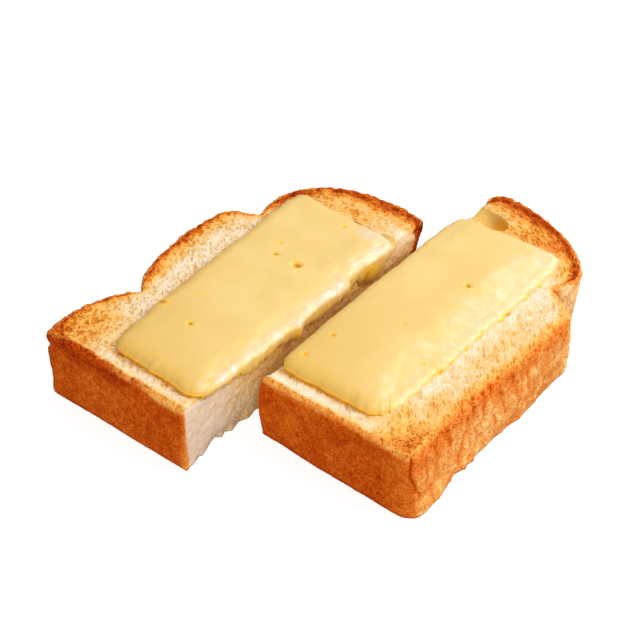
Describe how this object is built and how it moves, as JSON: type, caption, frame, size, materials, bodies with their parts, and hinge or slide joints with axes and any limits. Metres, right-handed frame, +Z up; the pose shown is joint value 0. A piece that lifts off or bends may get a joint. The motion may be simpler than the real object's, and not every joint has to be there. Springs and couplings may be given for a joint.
{
  "type": "cheese toast",
  "caption": "Thick slice of open-topped white loaf cut in two halves from foot to dome, each toasted under a slab of melted cheese, lying side by side.",
  "frame": {"origin": "middle of the whole at the level it rests on", "axes": "+Z up, +Y from the flat foot of the slice to its domed top, along the cut; +X from the left half to the right half"},
  "size_m": [0.1334, 0.159, 0.0295],
  "materials": {
    "bread": "toasted bread: matt brown crust, pale open crumb, golden where toasted",
    "melted_cheese": "melted cheese: smooth, slightly glossy and translucent pale yellow"
  },
  "bodies": {
    "root": {"left_bread": "bread", "left_cheese": "melted_cheese", "right_bread": "bread", "right_cheese": "melted_cheese"}
  },
  "joints": []
}
